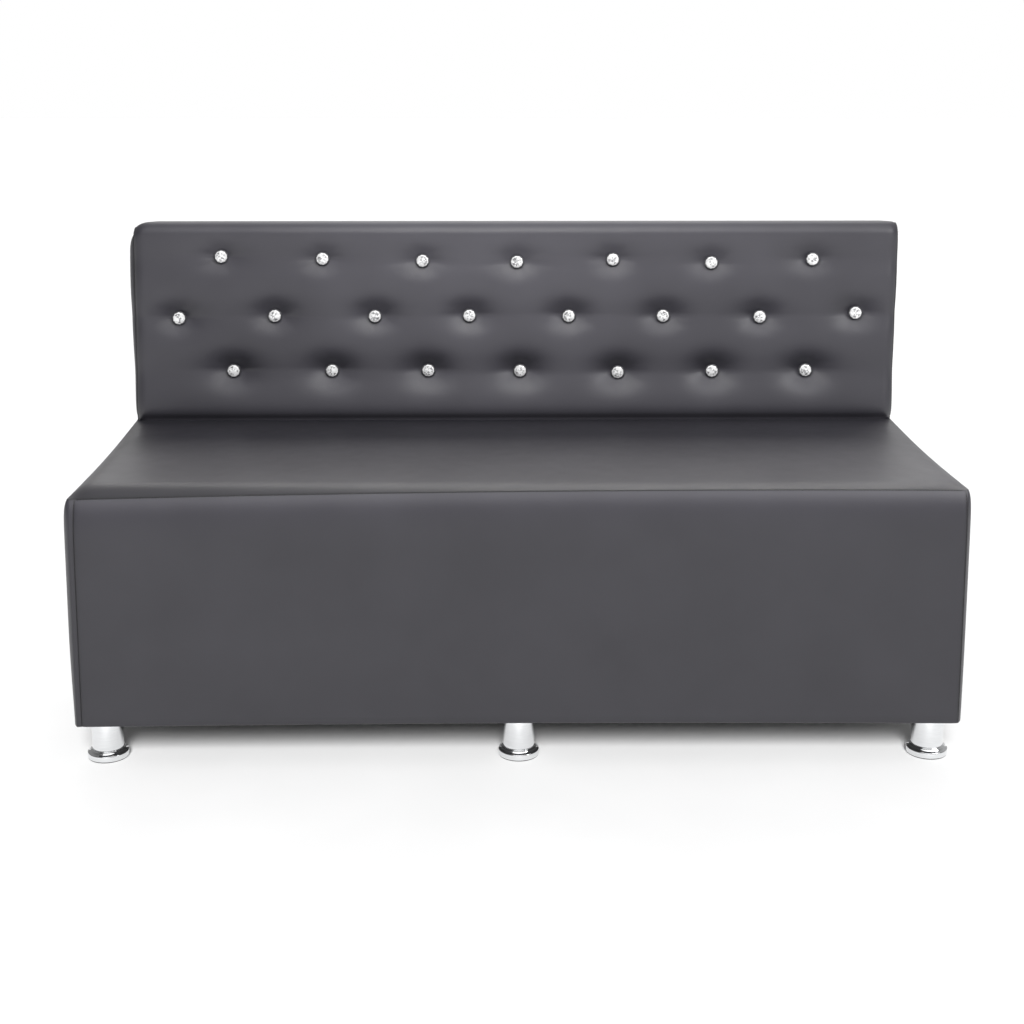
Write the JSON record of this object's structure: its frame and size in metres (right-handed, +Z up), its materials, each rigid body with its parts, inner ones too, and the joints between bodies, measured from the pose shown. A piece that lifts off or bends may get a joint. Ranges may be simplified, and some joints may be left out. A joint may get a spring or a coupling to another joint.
{
  "type": "waiting room bench",
  "caption": "Armless upholstered waiting room bench with a boxed seat, a button-tufted panel back and round chrome legs on levelling feet.",
  "frame": {"origin": "on the floor under the middle of the bench", "axes": "+X to the right seen from the front, +Y to the rear, +Z up; the sitter faces -Y"},
  "size_m": [1.4, 0.64, 0.8],
  "materials": {
    "leatherette": "grained leatherette with a soft sheen",
    "chrome": "polished chrome plate",
    "crystal": "cut clear crystal with a mirrored seat",
    "button_metal": "polished setting",
    "steel": "zinc plated",
    "plywood": "bare plywood",
    "timber": "bare softwood",
    "hardboard": "bare hardboard",
    "foam": "cut foam",
    "padding": "polyester wadding",
    "webbing": "woven elastic",
    "dust_cloth": "black spun cloth",
    "twine": "waxed twine",
    "toggle_plastic": "moulded"
  },
  "bodies": {
    "bench": {"back_bolts": "steel", "back_bottom_rails": "timber", "back_dust_cover": "dust_cloth", "back_edge_padding": "padding", "back_foam": "foam", "back_foam_shelf": "plywood", "back_front_cover": "leatherette", "back_hardboard": "hardboard", "back_inner_left_stile": "plywood", "back_inner_right_stile": "plywood", "back_left_cover": "leatherette", "back_left_stile": "plywood", "back_lower_board": "plywood", "back_nut_plates": "steel", "back_rear_cover": "leatherette", "back_right_cover": "leatherette", "back_right_stile": "plywood", "back_slat_1": "plywood", "back_slat_2": "plywood", "back_slat_3": "plywood", "back_slat_4": "plywood", "back_top_rails": "timber", "button_bases": "button_metal", "button_crystals": "crystal", "button_ties": "twine", "button_toggles": "toggle_plastic", "corner_blocks": "timber", "front_leg_rail": "timber", "leg_plates": "steel", "leg_tubes": "chrome", "rear_leg_rail": "timber", "seat_dust_cover": "dust_cloth", "seat_foam": "foam", "seat_front_board": "plywood", "seat_front_cover": "leatherette", "seat_front_padding": "padding", "seat_left_board": "plywood", "seat_left_cover": "leatherette", "seat_left_divider": "plywood", "seat_rear_board": "plywood", "seat_rear_cover": "leatherette", "seat_right_board": "plywood", "seat_right_cover": "leatherette", "seat_right_divider": "plywood", "seat_side_padding": "padding", "seat_top_cover": "leatherette", "seat_webbing": "webbing"},
    "front_left_foot": {"levelling_foot_front_left": "chrome"},
    "front_middle_foot": {"levelling_foot_front_middle": "chrome"},
    "front_right_foot": {"levelling_foot_front_right": "chrome"},
    "rear_left_foot": {"levelling_foot_rear_left": "chrome"},
    "rear_middle_foot": {"levelling_foot_rear_middle": "chrome"},
    "rear_right_foot": {"levelling_foot_rear_right": "chrome"}
  },
  "joints": [
    {"name": "front_left_foot_height", "type": "slide", "parent": "bench", "child": "front_left_foot", "axis": [0, 0, -1], "range_m": [0, 0.01]},
    {"name": "front_middle_foot_height", "type": "slide", "parent": "bench", "child": "front_middle_foot", "axis": [0, 0, -1], "range_m": [0, 0.01]},
    {"name": "front_right_foot_height", "type": "slide", "parent": "bench", "child": "front_right_foot", "axis": [0, 0, -1], "range_m": [0, 0.01]},
    {"name": "rear_left_foot_height", "type": "slide", "parent": "bench", "child": "rear_left_foot", "axis": [0, 0, -1], "range_m": [0, 0.01]},
    {"name": "rear_middle_foot_height", "type": "slide", "parent": "bench", "child": "rear_middle_foot", "axis": [0, 0, -1], "range_m": [0, 0.01]},
    {"name": "rear_right_foot_height", "type": "slide", "parent": "bench", "child": "rear_right_foot", "axis": [0, 0, -1], "range_m": [0, 0.01]}
  ]
}
